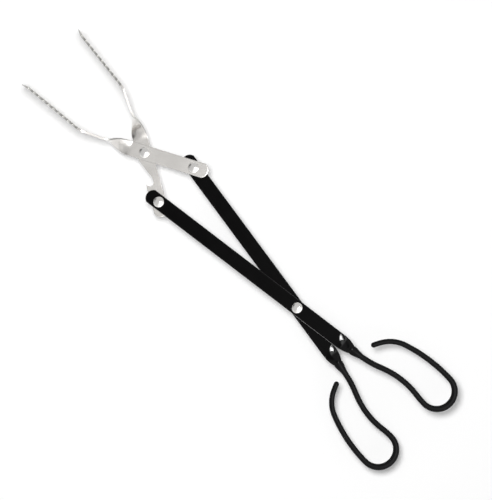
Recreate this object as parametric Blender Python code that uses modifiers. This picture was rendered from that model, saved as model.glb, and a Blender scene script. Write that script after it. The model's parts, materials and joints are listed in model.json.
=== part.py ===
"""Scissor-action grill tongs, folded flat on their linkage plane.

Two long arms cross at the main rivet. Their front ends carry two short jaw bars, which cross at the jaw
rivet, so the four bars make a kite that opens and closes the jaws. Each jaw bar twists a quarter turn into
a wide toothed blade. Each arm's rear end is drawn in to a socket that holds a bent steel rod, and a soft
dipped grip covers the rod, which is bent round into a finger loop.

Metres, +Z up. +X runs forward along the centreline to the blade tips, the linkage plane is level, and the
origin is the centre of the bounding box's bottom, on the surface that the blades' lower edges touch.
The bottom half is the top half turned over about the X axis. Its loop, bent by hand, closes a little more.
"""

import math

import bmesh
import bpy
from mathutils import Matrix, Vector

COLLECTION = "scissor_grill_tongs"

# Linkage
ARM_REACH = 0.200  # main rivet to link rivet
JAW_REACH = 0.059  # link rivet to jaw rivet
ARM_ANGLE = math.radians(8.05)  # each arm from the centreline at rest
JAW_ANGLE = math.asin(ARM_REACH * math.sin(ARM_ANGLE) / JAW_REACH)  # closes the kite

# Flat bars
BAR_WIDTH = 0.017
PLATE = 0.0025
GAP = 0.0003  # running gap between neighbouring pieces
SPACER_THICKNESS = 0.0005
LAYER = PLATE + SPACER_THICKNESS + 2 * GAP  # between the two plates' middle planes
ARM_END_REACH = 0.0166  # link rivet to the arm's rounded front end
JAW_END_REACH = 0.0175  # link rivet to the jaw's rounded rear end
END_RADIUS = 0.0094

# Arm's drawn-in rear end: distance behind the main rivet, width, thickness, roundness
ARM_TAIL = (
    (0.0580, 0.0170, 0.0025, 0.0),
    (0.0635, 0.0170, 0.0030, 0.25),
    (0.0690, 0.0161, 0.0042, 0.6),
    (0.0725, 0.0149, 0.0054, 0.85),
    (0.0755, 0.0131, 0.0066, 1.0),
    (0.0780, 0.0110, 0.0077, 1.0),
    (0.0800, 0.0095, 0.0083, 1.0),
    (0.0830, 0.0082, 0.0080, 1.0),
    (0.0880, 0.0072, 0.0072, 1.0),
)
SOCKET_RISE = 0.0006  # rod's middle above the plate's middle plane
SOCKET_DEPTH = 0.012

# Handle rod, bent from its straight end in the socket: length and turn of each stretch
ROD_RADIUS = 0.0025
ROD_START = 0.0765  # behind the main rivet
HANDLE_BENDS = {
    "top": (
        (0.0035, 0.0),
        (0.021, 5.2),
        (0.016, 9.2),
        (0.0125, -5.4),
        (0.041, -24.5),
        (0.013, 7.2),
        (0.064, 178.2),
        (0.065, 20.9),
        (0.027, 40.3),
        (0.0108, 6.9),
    ),
    "bottom": (
        (0.0035, 0.0),
        (0.021, 5.1),
        (0.016, 9.4),
        (0.013, -5.4),
        (0.041, -25.2),
        (0.0135, 8.7),
        (0.0645, 179.3),
        (0.0645, 21.5),
        (0.027, 40.8),
        (0.0108, 6.8),
    ),
}
TURN_PER_RING = 15.0  # degrees between rings on a bend

# Dipped grip
GRIP_MOUTH = 0.0795  # behind the main rivet
MOUTH_RADIUS = 0.0055
GRIP_RADIUS = 0.00335
MOUTH_TAPER = 0.0145  # length over which the mouth narrows to the rod
GRIP_SWELL = 0.00057  # extra radius where the dip pooled at the loop's end
SWELL_MIDDLE = 0.1415  # along the rod
SWELL_HALF_LENGTH = 0.042
GRIP_TIP_RADIUS = 0.0031
TIP_COVER = 0.0025  # of coating past the rod's end

# Jaw: distances along the bar from the link rivet
NECK_SET = -2.4  # degrees, small inward set just ahead of the jaw rivet
NECK_START = 0.072
TWIST_END = 0.107
TWIST_BOW = 0.0010  # each bar bows this far towards its upper edge's side as it twists
BOW_MIDDLE = 0.0965
BOW_HALF_LENGTH = 0.0165
FLARE_START = 0.100
BEND_MIDDLE = 0.1372
BEND_ANGLE = -20.1
BEND_LENGTH = 0.0105
BLADE_LENGTH = 0.0758  # from the bend to the lip
BLADE_WIDTH = 0.056
LIP_ANGLE = 21.5
LIP_BEND_LENGTH = 0.003
LIP_LENGTH = 0.0072
LIP_GRIND = 0.0066  # of the lip's outer face, ground off down to the edge
LIP_EDGE = 0.0006
TOOTH_PITCH = 0.0072
TOOTH_COUNT = 10
TOOTH_DEPTH = 0.0014
FIRST_TOOTH = 0.1400
RIDGE_COUNT = 8
RIDGE_HEIGHT = 0.0006
TOOTH_PHASES = (0.0, 0.11, 0.22, 0.36, 0.5, 0.64, 0.78, 0.89)
JAW_COLUMNS = 3  # strips across a jaw

# Opener hook in the bottom jaw's outer edge, ahead of its link rivet
OPENER_RAMP = ((0.0545, 0.0120), (0.0520, 0.0086), (0.0290, -0.0006), (0.0238, -0.0006))
OPENER_BITE = (0.0242, 0.0037)  # middle of the round bite
OPENER_BITE_RADIUS = 0.0043
OPENER_BITE_START = -96.0
OPENER_BITE_END = -262.0
OPENER_HOOK = ((0.0178, 0.0086), (0.0165, 0.0120))

# Two shallow notches in the bottom jaw's lip, which straddle the bars of a grill grate
NOTCH_SPACING = 0.0274
NOTCH_WIDTH = 0.017
NOTCH_DEPTH = 0.005

# Rivets and washers
SHANK_RADIUS = 0.003
HOLE_RADIUS = SHANK_RADIUS + GAP
HEAD_RADIUS = 0.00625
HEAD_HEIGHT = 0.0024
HEAD_EDGE = 0.0006
TAIL_RADIUS = 0.0046
TAIL_HEIGHT = 0.0015
SPACER_RADIUS = 0.0075
BACK_WASHER_RADIUS = 0.0068
BACK_WASHER_THICKNESS = 0.0010
WIDE_WASHER_RADIUS = 0.0080  # covers the jaw rivet's clearance hole
CLEARANCE_HOLE_RADIUS = 0.0050  # lets the opened loop's small error pass
ROUND_STEPS = 20

OUTER_FACE = PLATE / 2 + LAYER / 2  # height of the stack's outer faces from its middle


def smoothstep(low, high, value):
    """Rise from 0 to 1 between low and high with flat ends."""
    x = min(max((value - low) / (high - low), 0.0), 1.0)
    return x * x * (3 - 2 * x)


class BentLine:
    """A line of straight stretches and arcs in a plane, given as pairs of length and turn in degrees."""

    def __init__(self, stretches):
        self.stretches = [(length, math.radians(turn)) for length, turn in stretches]
        self.length = sum(length for length, _ in self.stretches)

    def at(self, distance):
        """The point and the heading at a distance along the line."""
        x, y, heading = 0.0, 0.0, 0.0
        for number, (length, turn) in enumerate(self.stretches):
            last = number == len(self.stretches) - 1
            run = distance if last else min(distance, length)
            part = turn * run / length
            # a chord of an arc points half way between the arc's end headings
            chord = run if abs(part) < 1e-9 else 2 * run / part * math.sin(part / 2)
            x += chord * math.cos(heading + part / 2)
            y += chord * math.sin(heading + part / 2)
            heading += part
            distance -= run
            if distance <= 0 and not last:
                break
        return x, y, heading

    def stations(self, step_degrees):
        """Distances at each stretch's ends, and along an arc at about every step_degrees."""
        found, start = [0.0], 0.0
        for length, turn in self.stretches:
            count = max(1, math.ceil(abs(math.degrees(turn)) / step_degrees))
            found += [start + length * (n + 1) / count for n in range(count)]
            start += length
        return found


def plastic_or_metal(name, colour, roughness, metallic):
    material = bpy.data.materials.new(name)
    material.use_nodes = True
    shader = material.node_tree.nodes["Principled BSDF"]
    shader.inputs["Base Color"].default_value = (*colour, 1.0)
    shader.inputs["Roughness"].default_value = roughness
    shader.inputs["Metallic"].default_value = metallic
    material.diffuse_color = (*colour, 1.0)
    return material


class Workshop:
    """Holds the scene's collections and adds finished objects to them."""

    def __init__(self):
        for old in list(bpy.data.objects):
            bpy.data.objects.remove(old)
        self.parts = self.collection(COLLECTION)
        self.cutters = self.collection("cutters")
        self.root = self.empty("tongs_frame", None)

    def collection(self, name):
        made = bpy.data.collections.new(name)
        bpy.context.scene.collection.children.link(made)
        return made

    def empty(self, name, parent, location=(0, 0, 0), turn=(0, 0, 0)):
        made = bpy.data.objects.new(name, None)
        made.empty_display_size = 0.01
        made.location = location
        made.rotation_euler = turn
        made.parent = parent
        self.parts.objects.link(made)
        return made

    def add(self, name, mesh, material, parent):
        made = bpy.data.objects.new(name, mesh)
        made.parent = parent
        mesh.materials.append(material)
        mesh.shade_smooth()
        mesh.set_sharp_from_angle(angle=math.radians(30))
        self.parts.objects.link(made)
        return made

    def cut(self, target, mesh, location=(0, 0, 0)):
        """Cut a closed mesh, given in the target's own frame, out of the target."""
        cutter = bpy.data.objects.new(f"{target.name}_cutter", mesh)
        cutter.parent = target
        cutter.location = location
        cutter.hide_render = True
        cutter.display_type = "WIRE"
        self.cutters.objects.link(cutter)
        modifier = target.modifiers.new("cut", "BOOLEAN")
        modifier.operation = "DIFFERENCE"
        modifier.solver = "EXACT"
        modifier.object = cutter


def finished(name, bm):
    """Turn a bmesh into a mesh whose faces point outwards."""
    bmesh.ops.recalc_face_normals(bm, faces=bm.faces)
    mesh = bpy.data.meshes.new(name)
    bm.to_mesh(mesh)
    bm.free()
    return mesh


def loft(name, rings):
    """Skin a row of closed rings, each with the same number of points, and cap both ends."""
    bm = bmesh.new()
    rows = [[bm.verts.new(point) for point in ring] for ring in rings]
    size = len(rings[0])
    for near, far in zip(rows, rows[1:]):
        for k in range(size):
            bm.faces.new((near[k], near[(k + 1) % size], far[(k + 1) % size], far[k]))
    bm.faces.new(rows[0])
    bm.faces.new(rows[-1])
    return finished(name, bm)


def prism(name, outline, height):
    """A flat outline in XY, extruded equally above and below its plane."""
    bm = bmesh.new()
    bottom = [bm.verts.new((x, y, -height / 2)) for x, y in outline]
    face = bm.faces.new(bottom)
    made = bmesh.ops.extrude_face_region(bm, geom=[face])
    raised = [v for v in made["geom"] if isinstance(v, bmesh.types.BMVert)]
    bmesh.ops.translate(bm, verts=raised, vec=(0, 0, height))
    return finished(name, bm)


def drum(name, radius, height):
    """A plain cylinder about Z."""
    bm = bmesh.new()
    bmesh.ops.create_cone(
        bm,
        cap_ends=True,
        segments=ROUND_STEPS,
        radius1=radius,
        radius2=radius,
        depth=height,
    )
    return finished(name, bm)


def turned(shop, name, profile, closed, material, parent, location):
    """A profile of (radius, height) points, from the top down its outer side, turned about Z."""
    mesh = bpy.data.meshes.new(name)
    edges = [(k, k + 1) for k in range(len(profile) - 1)]
    if closed:
        edges.append((len(profile) - 1, 0))
    mesh.from_pydata([(radius, 0, height) for radius, height in profile], edges, [])
    made = bpy.data.objects.new(name, mesh)
    made.parent = parent
    made.location = location
    mesh.materials.append(material)
    screw = made.modifiers.new("turn", "SCREW")
    screw.steps = ROUND_STEPS
    screw.render_steps = ROUND_STEPS
    screw.use_merge_vertices = True
    screw.merge_threshold = 0.00001
    screw.use_smooth_shade = False
    shop.parts.objects.link(made)
    return made


def box_to_oval(width, thickness, roundness):
    """Sixteen points of a ring between a rectangle (roundness 0) and an ellipse (1), as (across, up)."""
    ring = []
    for k in range(16):
        angle = math.tau * k / 16
        c, s = math.cos(angle), math.sin(angle)
        reach = roundness + (1 - roundness) / max(abs(c), abs(s))
        ring.append((width / 2 * reach * c, thickness / 2 * reach * s))
    return ring


def rounded_end(steps):
    """Distance in from a bar's rounded end, and half width there, out to the full width."""
    widest = math.asin(BAR_WIDTH / 2 / END_RADIUS)
    for k in range(1, steps + 1):
        angle = widest * k / steps
        yield END_RADIUS * (1 - math.cos(angle)), END_RADIUS * math.sin(angle)


def arm_mesh(name):
    """Flat bar along X, from its rounded front end to the socket behind the main rivet."""
    sections = []
    for inset, half_width in rounded_end(5):
        sections.append((ARM_REACH + ARM_END_REACH - inset, 2 * half_width, PLATE, 0.0))
    sections += [(-behind, *shape) for behind, *shape in ARM_TAIL]
    rings = []
    for x, width, thickness, roundness in sections:
        rise = SOCKET_RISE * smoothstep(PLATE, 3 * PLATE, thickness)
        ring = box_to_oval(width, thickness, roundness)
        rings.append([(x, across, up + rise) for across, up in ring])
    return loft(name, rings)


def tube_mesh(name, line, rings):
    """A round tube along the handle's line, given as pairs of distance along it and radius there."""
    curve = bpy.data.curves.new(name, "CURVE")
    curve.dimensions = "3D"
    curve.bevel_depth = 1.0  # each point's radius is then in metres
    curve.bevel_resolution = 2
    curve.use_fill_caps = True
    spline = curve.splines.new("POLY")
    spline.points.add(len(rings) - 1)
    for point, (distance, radius) in zip(spline.points, rings):
        along, outward, _ = line.at(distance)
        point.co = (-(ROD_START + along), -outward, SOCKET_RISE, 1.0)
        point.radius = radius
    holder = bpy.data.objects.new(name, curve)
    bpy.context.scene.collection.objects.link(holder)
    graph = bpy.context.evaluated_depsgraph_get()
    bm = bmesh.new()
    bm.from_mesh(bpy.data.meshes.new_from_object(holder.evaluated_get(graph)))
    bpy.data.objects.remove(holder)
    bmesh.ops.remove_doubles(bm, verts=bm.verts, dist=1e-6)
    return finished(name, bm)


def rod_mesh(name, line, radius, extra):
    """The bent rod, or with extra length at both ends the bore that it leaves in the grip."""
    stations = line.stations(TURN_PER_RING)
    stations[0] -= extra
    stations[-1] += extra
    return tube_mesh(name, line, [(s, radius) for s in stations])


def grip_radius(distance, length):
    """The dipped coating's outer radius at a distance along the rod."""
    mouth = GRIP_MOUTH - ROD_START
    narrowing = 1 - smoothstep(mouth, mouth + MOUTH_TAPER, distance)
    from_swell = abs(distance - SWELL_MIDDLE) / SWELL_HALF_LENGTH
    swell = 1 - smoothstep(0.0, 1.0, from_swell)
    thinning = smoothstep(SWELL_MIDDLE + SWELL_HALF_LENGTH, length, distance)
    radius = GRIP_RADIUS + (MOUTH_RADIUS - GRIP_RADIUS) * narrowing
    return radius + GRIP_SWELL * swell - (GRIP_RADIUS - GRIP_TIP_RADIUS) * thinning


def grip_mesh(name, line):
    """The coating's outside: a funnel mouth over the socket, the loop and a round tip."""
    mouth = GRIP_MOUTH - ROD_START
    steps = [mouth + MOUTH_TAPER * n / 4 for n in range(4)]
    steps += [s for s in line.stations(TURN_PER_RING) if s > steps[-1] + 0.002]
    rings = [(s, grip_radius(s, line.length)) for s in steps]
    dome = line.length + TIP_COVER - GRIP_TIP_RADIUS
    for degrees in (25, 50, 75):
        angle = math.radians(degrees)
        rings.append((dome + GRIP_TIP_RADIUS * math.sin(angle), GRIP_TIP_RADIUS * math.cos(angle)))
    return tube_mesh(name, line, rings)


def socket_space(name):
    """What the arm's drawn-in end takes out of the grip's mouth, with the running gap all round."""
    rings = []
    for behind, width, thickness, roundness in ARM_TAIL[5:]:
        ring = box_to_oval(width + 2 * GAP, thickness + 2 * GAP, roundness)
        rings.append([(-behind, across, up + SOCKET_RISE) for across, up in ring])
    shift = Vector((-GAP, 0, 0))
    rings.append([Vector(point) + shift for point in rings[-1]])
    return loft(name, rings)


def jaw_line():
    """The jaw plate's middle line in plan, from its rounded rear end to the lip."""
    neck = 0.010
    return BentLine(
        (
            (JAW_END_REACH + NECK_START, 0.0),
            (neck, NECK_SET),
            (BEND_MIDDLE - BEND_LENGTH / 2 - NECK_START - neck, 0.0),
            (BEND_LENGTH, BEND_ANGLE),
            (BLADE_LENGTH - BEND_LENGTH / 2 - LIP_BEND_LENGTH / 2, 0.0),
            (LIP_BEND_LENGTH, LIP_ANGLE),
            (LIP_LENGTH - LIP_BEND_LENGTH / 2, 0.0),
        )
    )


def jaw_sections():
    """Distance from the link rivet, half width and ridge height of each ring along a jaw."""
    half_blade = BLADE_WIDTH / 2
    sections = []
    for inset, half_width in rounded_end(5):
        sections.append((inset - JAW_END_REACH, half_width, 0.0))
    twist = [NECK_START + (FLARE_START - NECK_START) * n / 8 for n in range(9)]
    flare = [FLARE_START + (FIRST_TOOTH - FLARE_START) * n / 10 for n in range(1, 10)]
    for s in twist + flare:
        spread = smoothstep(FLARE_START, BEND_MIDDLE - 0.001, s)
        sections.append((s, BAR_WIDTH / 2 + (half_blade - BAR_WIDTH / 2) * spread, 0.0))
    for tooth in range(TOOTH_COUNT):
        for phase in TOOTH_PHASES:
            scallop = max(0.0, math.sin(math.pi * (phase - 0.14) / 0.72)) if phase > 0.14 else 0.0
            s = FIRST_TOOTH + (tooth + phase) * TOOTH_PITCH
            sections.append((s, half_blade - TOOTH_DEPTH * scallop, ridge_height(tooth + phase)))
    tip = BEND_MIDDLE + BLADE_LENGTH + LIP_LENGTH
    for s in (FIRST_TOOTH + TOOTH_COUNT * TOOTH_PITCH, tip - LIP_GRIND, tip - LIP_GRIND / 2, tip):
        sections.append((s, half_blade, 0.0))
    return sections


def ridge_height(turns):
    """Height of the inner face's cross ridges, one on each of the first teeth."""
    nearest = round(turns)
    if nearest >= RIDGE_COUNT:
        return 0.0
    away = abs(turns - nearest) / 0.22
    return RIDGE_HEIGHT * math.cos(math.pi / 2 * min(away, 1.0))


def jaw_mesh(name, bow_side):
    """A jaw along X from its link rivet: flat bar, quarter twist, flare, toothed blade and lip.

    The bar's upper face becomes the blade's smooth outer face, on the +Y side. The blade's middle drops
    by half a layer, so both jaws' blades stand at the same height.
    """
    line = jaw_line()
    rings = []
    tip = BEND_MIDDLE + BLADE_LENGTH + LIP_LENGTH
    for s, half_width, ridge in jaw_sections():
        x, y, heading = line.at(s + JAW_END_REACH)
        turn = math.pi / 2 * smoothstep(NECK_START, TWIST_END, s)
        drop = LAYER / 2 * smoothstep(NECK_START, TWIST_END, s)
        bow = bow_side * TWIST_BOW * (1 - smoothstep(0.0, 1.0, abs(s - BOW_MIDDLE) / BOW_HALF_LENGTH))
        ground = (PLATE - LIP_EDGE) * max(0.0, 1 - (tip - s) / LIP_GRIND)
        middle = Vector((x - JAW_END_REACH, y + bow, -drop))
        beside = Vector((-math.sin(heading), math.cos(heading), 0))
        up = Vector((0, 0, 1))
        across = beside * math.cos(turn) - up * math.sin(turn)
        outer = up * math.cos(turn) + beside * math.sin(turn)
        spots = [1 - 2 * k / JAW_COLUMNS for k in range(JAW_COLUMNS + 1)]
        face = [middle + across * half_width * u + outer * (PLATE / 2 - ground) for u in spots]
        back = [middle + across * half_width * u - outer * (PLATE / 2 + ridge) for u in reversed(spots)]
        rings.append(face + back)
    return loft(name, rings)


def opener_outline():
    """The space of the bottle opener's hook, open to the bar's outer edge."""
    x, y = OPENER_BITE
    bite = []
    for k in range(7):
        angle = math.radians(OPENER_BITE_START + (OPENER_BITE_END - OPENER_BITE_START) * k / 6)
        bite.append((x + OPENER_BITE_RADIUS * math.cos(angle), y + OPENER_BITE_RADIUS * math.sin(angle)))
    outline = [*OPENER_RAMP, *bite, *OPENER_HOOK]
    return [(px, -py) for px, py in outline]


def notch_cutter(name):
    """A short drum whose rim cuts one shallow notch in the lip."""
    radius = ((NOTCH_WIDTH / 2) ** 2 + NOTCH_DEPTH**2) / (2 * NOTCH_DEPTH)
    return drum(name, radius, 0.02), radius


def make_arm(shop, half, pivot, paint):
    arm = shop.add(f"{half}_arm", arm_mesh(f"{half}_arm"), paint, pivot)
    for x in (0.0, ARM_REACH):
        shop.cut(arm, drum("rivet_hole", HOLE_RADIUS, 4 * PLATE), (x, 0, 0))
    bore = drum("socket_bore", ROD_RADIUS + GAP, 2 * SOCKET_DEPTH)
    bore.transform(Matrix.Rotation(math.pi / 2, 4, "Y"))
    shop.cut(arm, bore, (-ARM_TAIL[-1][0], 0, SOCKET_RISE))
    return arm


def make_handle(shop, half, pivot, steel, vinyl):
    line = BentLine(HANDLE_BENDS[half])
    shop.add(f"{half}_handle_rod", rod_mesh("handle_rod", line, ROD_RADIUS, 0.0), steel, pivot)
    grip = shop.add(f"{half}_grip", grip_mesh("grip", line), vinyl, pivot)
    shop.cut(grip, socket_space("socket_space"))
    shop.cut(grip, rod_mesh("rod_space", line, ROD_RADIUS + GAP, GAP))


def make_jaw(shop, half, pivot, steel, jaw_hole, bow_side):
    jaw = shop.add(f"{half}_jaw", jaw_mesh(f"{half}_jaw", bow_side), steel, pivot)
    shop.cut(jaw, drum("rivet_hole", HOLE_RADIUS, 4 * PLATE))
    shop.cut(jaw, drum("rivet_hole", jaw_hole, 4 * PLATE), (JAW_REACH, 0, 0))
    return jaw


def make_scraper_edge(shop, jaw):
    """The bottom jaw alone has the opener's hook and the two grate notches."""
    shop.cut(jaw, prism("opener_space", opener_outline(), 4 * PLATE))
    line = jaw_line()
    x, y, heading = line.at(line.length)
    for side in (-1, 1):
        mesh, radius = notch_cutter("grate_notch")
        mesh.transform(Matrix.Rotation(math.pi / 2, 4, "X"))
        mesh.transform(Matrix.Rotation(heading, 4, "Z"))
        beyond = radius - NOTCH_DEPTH
        place = Vector((x - JAW_END_REACH, y, 0)) + Vector((math.cos(heading), math.sin(heading), 0)) * beyond
        place.z = side * NOTCH_SPACING / 2 - LAYER / 2
        shop.cut(jaw, mesh, place)


def make_rivet(shop, name, parent, place, steel, washer_radius):
    """A domed rivet, head up, with a spacer between the plates and a washer under its formed tail."""
    head_low = OUTER_FACE + GAP
    washer_high = -OUTER_FACE - GAP
    washer_low = washer_high - BACK_WASHER_THICKNESS
    tail_high = washer_low - GAP
    dome = HEAD_HEIGHT - HEAD_EDGE
    profile = [(0.0, head_low + HEAD_HEIGHT)]
    for k in range(1, 5):
        angle = math.radians(22.5 * k)
        profile.append((HEAD_RADIUS * math.sin(angle), head_low + HEAD_EDGE + dome * math.cos(angle)))
    profile += [(HEAD_RADIUS, head_low), (SHANK_RADIUS, head_low), (SHANK_RADIUS, tail_high)]
    profile += [(TAIL_RADIUS, tail_high), (TAIL_RADIUS * 0.8, tail_high - TAIL_HEIGHT * 0.7)]
    profile.append((0.0, tail_high - TAIL_HEIGHT))
    turned(shop, f"{name}_rivet", profile, False, steel, parent, place)
    rings = (
        (f"{name}_spacer", SPACER_RADIUS, SPACER_THICKNESS / 2, -SPACER_THICKNESS / 2),
        (f"{name}_back_washer", washer_radius, washer_high, washer_low),
    )
    for ring_name, radius, high, low in rings:
        profile = [(radius, high), (radius, low), (HOLE_RADIUS, low), (HOLE_RADIUS, high)]
        turned(shop, ring_name, profile, True, steel, parent, place)


def stand_on_origin(shop):
    """Move the whole assembly so that the origin is the centre of its bounding box's bottom."""
    bpy.context.view_layer.update()
    graph = bpy.context.evaluated_depsgraph_get()
    points = []
    for part in shop.parts.objects:
        if part.type == "MESH":
            solid = part.evaluated_get(graph)
            points += [part.matrix_world @ vertex.co for vertex in solid.data.vertices]
    low = [min(p[axis] for p in points) for axis in range(3)]
    high = [max(p[axis] for p in points) for axis in range(3)]
    shop.root.location = (-(low[0] + high[0]) / 2, -(low[1] + high[1]) / 2, -low[2])
    bpy.context.view_layer.update()


def main():
    shop = Workshop()
    black_paint = plastic_or_metal("black_enamel", (0.012, 0.011, 0.012), 0.42, 0.0)
    vinyl = plastic_or_metal("black_vinyl", (0.017, 0.017, 0.018), 0.5, 0.0)
    stainless = plastic_or_metal("satin_stainless", (0.62, 0.60, 0.57), 0.32, 1.0)
    rod_steel = plastic_or_metal("plain_steel", (0.42, 0.42, 0.43), 0.4, 1.0)
    rivet_steel = plastic_or_metal("bright_steel", (0.70, 0.69, 0.67), 0.2, 1.0)

    link_x = ARM_REACH * math.cos(ARM_ANGLE)
    link_y = ARM_REACH * math.sin(ARM_ANGLE)
    crossing_x = link_x + JAW_REACH * math.cos(JAW_ANGLE)

    for half, turned_over in (("top", 0.0), ("bottom", math.pi)):
        frame = shop.empty(f"{half}_half", shop.root, turn=(turned_over, 0, 0))
        arm_pivot = shop.empty(f"{half}_arm_pivot", frame, (0, 0, LAYER / 2), (0, 0, ARM_ANGLE))
        jaw_place = (link_x, -link_y, LAYER / 2)
        jaw_pivot = shop.empty(f"{half}_jaw_pivot", frame, jaw_place, (0, 0, JAW_ANGLE))
        make_arm(shop, half, arm_pivot, black_paint)
        make_handle(shop, half, arm_pivot, rod_steel, vinyl)
        jaw_hole = CLEARANCE_HOLE_RADIUS if turned_over else HOLE_RADIUS
        jaw = make_jaw(shop, half, jaw_pivot, stainless, jaw_hole, 1 if turned_over else -1)
        if turned_over:
            make_scraper_edge(shop, jaw)

    make_rivet(shop, "main", shop.root, (0, 0, 0), rivet_steel, BACK_WASHER_RADIUS)
    make_rivet(shop, "jaw", shop.root, (crossing_x, 0, 0), rivet_steel, WIDE_WASHER_RADIUS)
    make_rivet(shop, "left_link", shop.root, (link_x, link_y, 0), rivet_steel, BACK_WASHER_RADIUS)
    make_rivet(shop, "right_link", shop.root, (link_x, -link_y, 0), rivet_steel, BACK_WASHER_RADIUS)
    stand_on_origin(shop)


main()
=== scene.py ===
"""Looks for the scissor-action grill tongs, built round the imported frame.

Metres, +Z up, in the frame's own axes: +X forward to the blade tips, the linkage plane level. The
bottom half is the top half turned over about X. Each visible piece is made again here, finer, at
the frame's dimensions: bars and tubes are sheets rolled round a row of sections, rivets and washers
are spun. The handle rods inside the grips are the frame's own.
"""

import json
import math

import bmesh
import bpy
from mathutils import Matrix, Vector


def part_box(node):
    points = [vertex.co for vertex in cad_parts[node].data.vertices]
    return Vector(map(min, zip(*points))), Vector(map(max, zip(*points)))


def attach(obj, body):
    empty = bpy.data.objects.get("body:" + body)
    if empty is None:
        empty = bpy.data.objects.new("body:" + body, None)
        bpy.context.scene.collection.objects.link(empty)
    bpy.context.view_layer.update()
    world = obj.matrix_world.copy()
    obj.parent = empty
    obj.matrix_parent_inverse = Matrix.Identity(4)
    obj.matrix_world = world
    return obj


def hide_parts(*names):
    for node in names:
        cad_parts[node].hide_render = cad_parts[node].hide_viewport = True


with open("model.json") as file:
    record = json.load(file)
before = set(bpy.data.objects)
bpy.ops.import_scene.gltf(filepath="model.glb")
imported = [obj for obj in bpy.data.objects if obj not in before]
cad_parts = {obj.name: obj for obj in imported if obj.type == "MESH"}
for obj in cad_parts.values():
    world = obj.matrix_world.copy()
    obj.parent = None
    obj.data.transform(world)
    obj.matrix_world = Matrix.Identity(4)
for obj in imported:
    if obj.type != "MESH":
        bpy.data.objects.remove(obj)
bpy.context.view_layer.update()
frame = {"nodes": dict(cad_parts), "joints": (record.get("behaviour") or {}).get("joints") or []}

# Linkage, as in the frame
ARM_REACH = 0.200
JAW_REACH = 0.059
ARM_ANGLE = math.radians(8.05)
JAW_ANGLE = math.asin(ARM_REACH * math.sin(ARM_ANGLE) / JAW_REACH)
BAR_WIDTH = 0.017
PLATE = 0.0025
GAP = 0.0003
SPACER_THICKNESS = 0.0005
LAYER = PLATE + SPACER_THICKNESS + 2 * GAP
ARM_END_REACH = 0.0166
JAW_END_REACH = 0.0175
END_RADIUS = 0.0094
EDGE_RADIUS = 0.00035  # tumbled edges of the bars
REAR_EDGE_RADIUS = 0.0010  # fuller rounding at the jaws' rear ends
REAR_EDGE_FADE = (0.004, 0.009)  # distances from a jaw's rear end between which it gives way
CORNER_STEPS = 3
END_STATIONS = 14
TIP_STEP = 0.35  # the first station's distance in from a rounded end's tip, in steps
CORNER_LIMIT = 0.98  # the most of a section's half size that its corners may take
SLIVER = 0.000002  # points closer than this are merged after a cut
ROLLED_SEAM = 0.0000001  # the same where a rolled sheet meets itself
SPUN_SEAM = 0.000001  # and where a spun profile does
STRAIGHT = 1e-9  # an arc that turns less, in radians, is drawn as a straight

# Arm's drawn-in rear end: distance behind the main rivet, then the section's width, thickness and
# roundness
ARM_TAIL = (
    (0.0580, 0.0170, 0.0025, 0.0),
    (0.0620, 0.0170, 0.0026, 0.04),
    (0.0660, 0.0167, 0.0032, 0.35),
    (0.0690, 0.0161, 0.0042, 0.6),
    (0.0725, 0.0149, 0.0055, 0.85),
    (0.0755, 0.0131, 0.0070, 1.0),
    (0.0778, 0.0112, 0.0076, 1.0),
    (0.0800, 0.0095, 0.0071, 1.0),
    (0.0830, 0.0082, 0.0070, 1.0),
    (0.0880, 0.0072, 0.0070, 1.0),
)
SOCKET_RISE = 0.0006
SOCKET_DEPTH = 0.012
# Ahead of the socket each face is pressed in beside its middle line, beyond a slanting crease
FOLD_START = 0.0590  # where the crease would meet the bar's middle line, behind the main rivet
FOLD_SLANT = math.radians(27.0)
FOLD_SLOPE = math.tan(math.radians(10.8))
FOLD_ROUNDING = 0.0022
FOLD_LENGTH = 0.0072
FOLD_FADE = 0.0080
FOLD_MIDDLES = (0.0038, 0.0053)  # beside the bar's middle line, on the upper and the lower face
FOLD_HALF_WIDTH = 0.0062

# Handle rod, its bends as pairs of length and turn in degrees, and its dipped grip
ROD_RADIUS = 0.0025
ROD_START = 0.0765
HANDLE_BENDS = {
    "top": (
        (0.0035, 0.0),
        (0.021, 5.2),
        (0.016, 9.2),
        (0.0125, -5.4),
        (0.041, -24.5),
        (0.013, 7.2),
        (0.064, 178.2),
        (0.065, 20.9),
        (0.027, 40.3),
        (0.0108, 6.9),
    ),
    "bottom": (
        (0.0035, 0.0),
        (0.021, 5.1),
        (0.016, 9.4),
        (0.013, -5.4),
        (0.041, -25.2),
        (0.0135, 8.7),
        (0.0645, 179.3),
        (0.0645, 21.5),
        (0.027, 40.8),
        (0.0108, 6.8),
    ),
}
GRIP_MOUTH = 0.0795
MOUTH_RADIUS = 0.0055
MOUTH_LIP = 0.0005
MOUTH_LIP_END = 0.00065  # where the plain outside starts
MOUTH_COAT = 0.0008
GRIP_RADIUS = 0.0033
MOUTH_TAPER = 0.0145
GRIP_SWELL = 0.00057
SWELL_MIDDLE = 0.1415
SWELL_HALF_LENGTH = 0.042
GRIP_TIP_RADIUS = 0.0031
TIP_COVER = 0.0025

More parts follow.
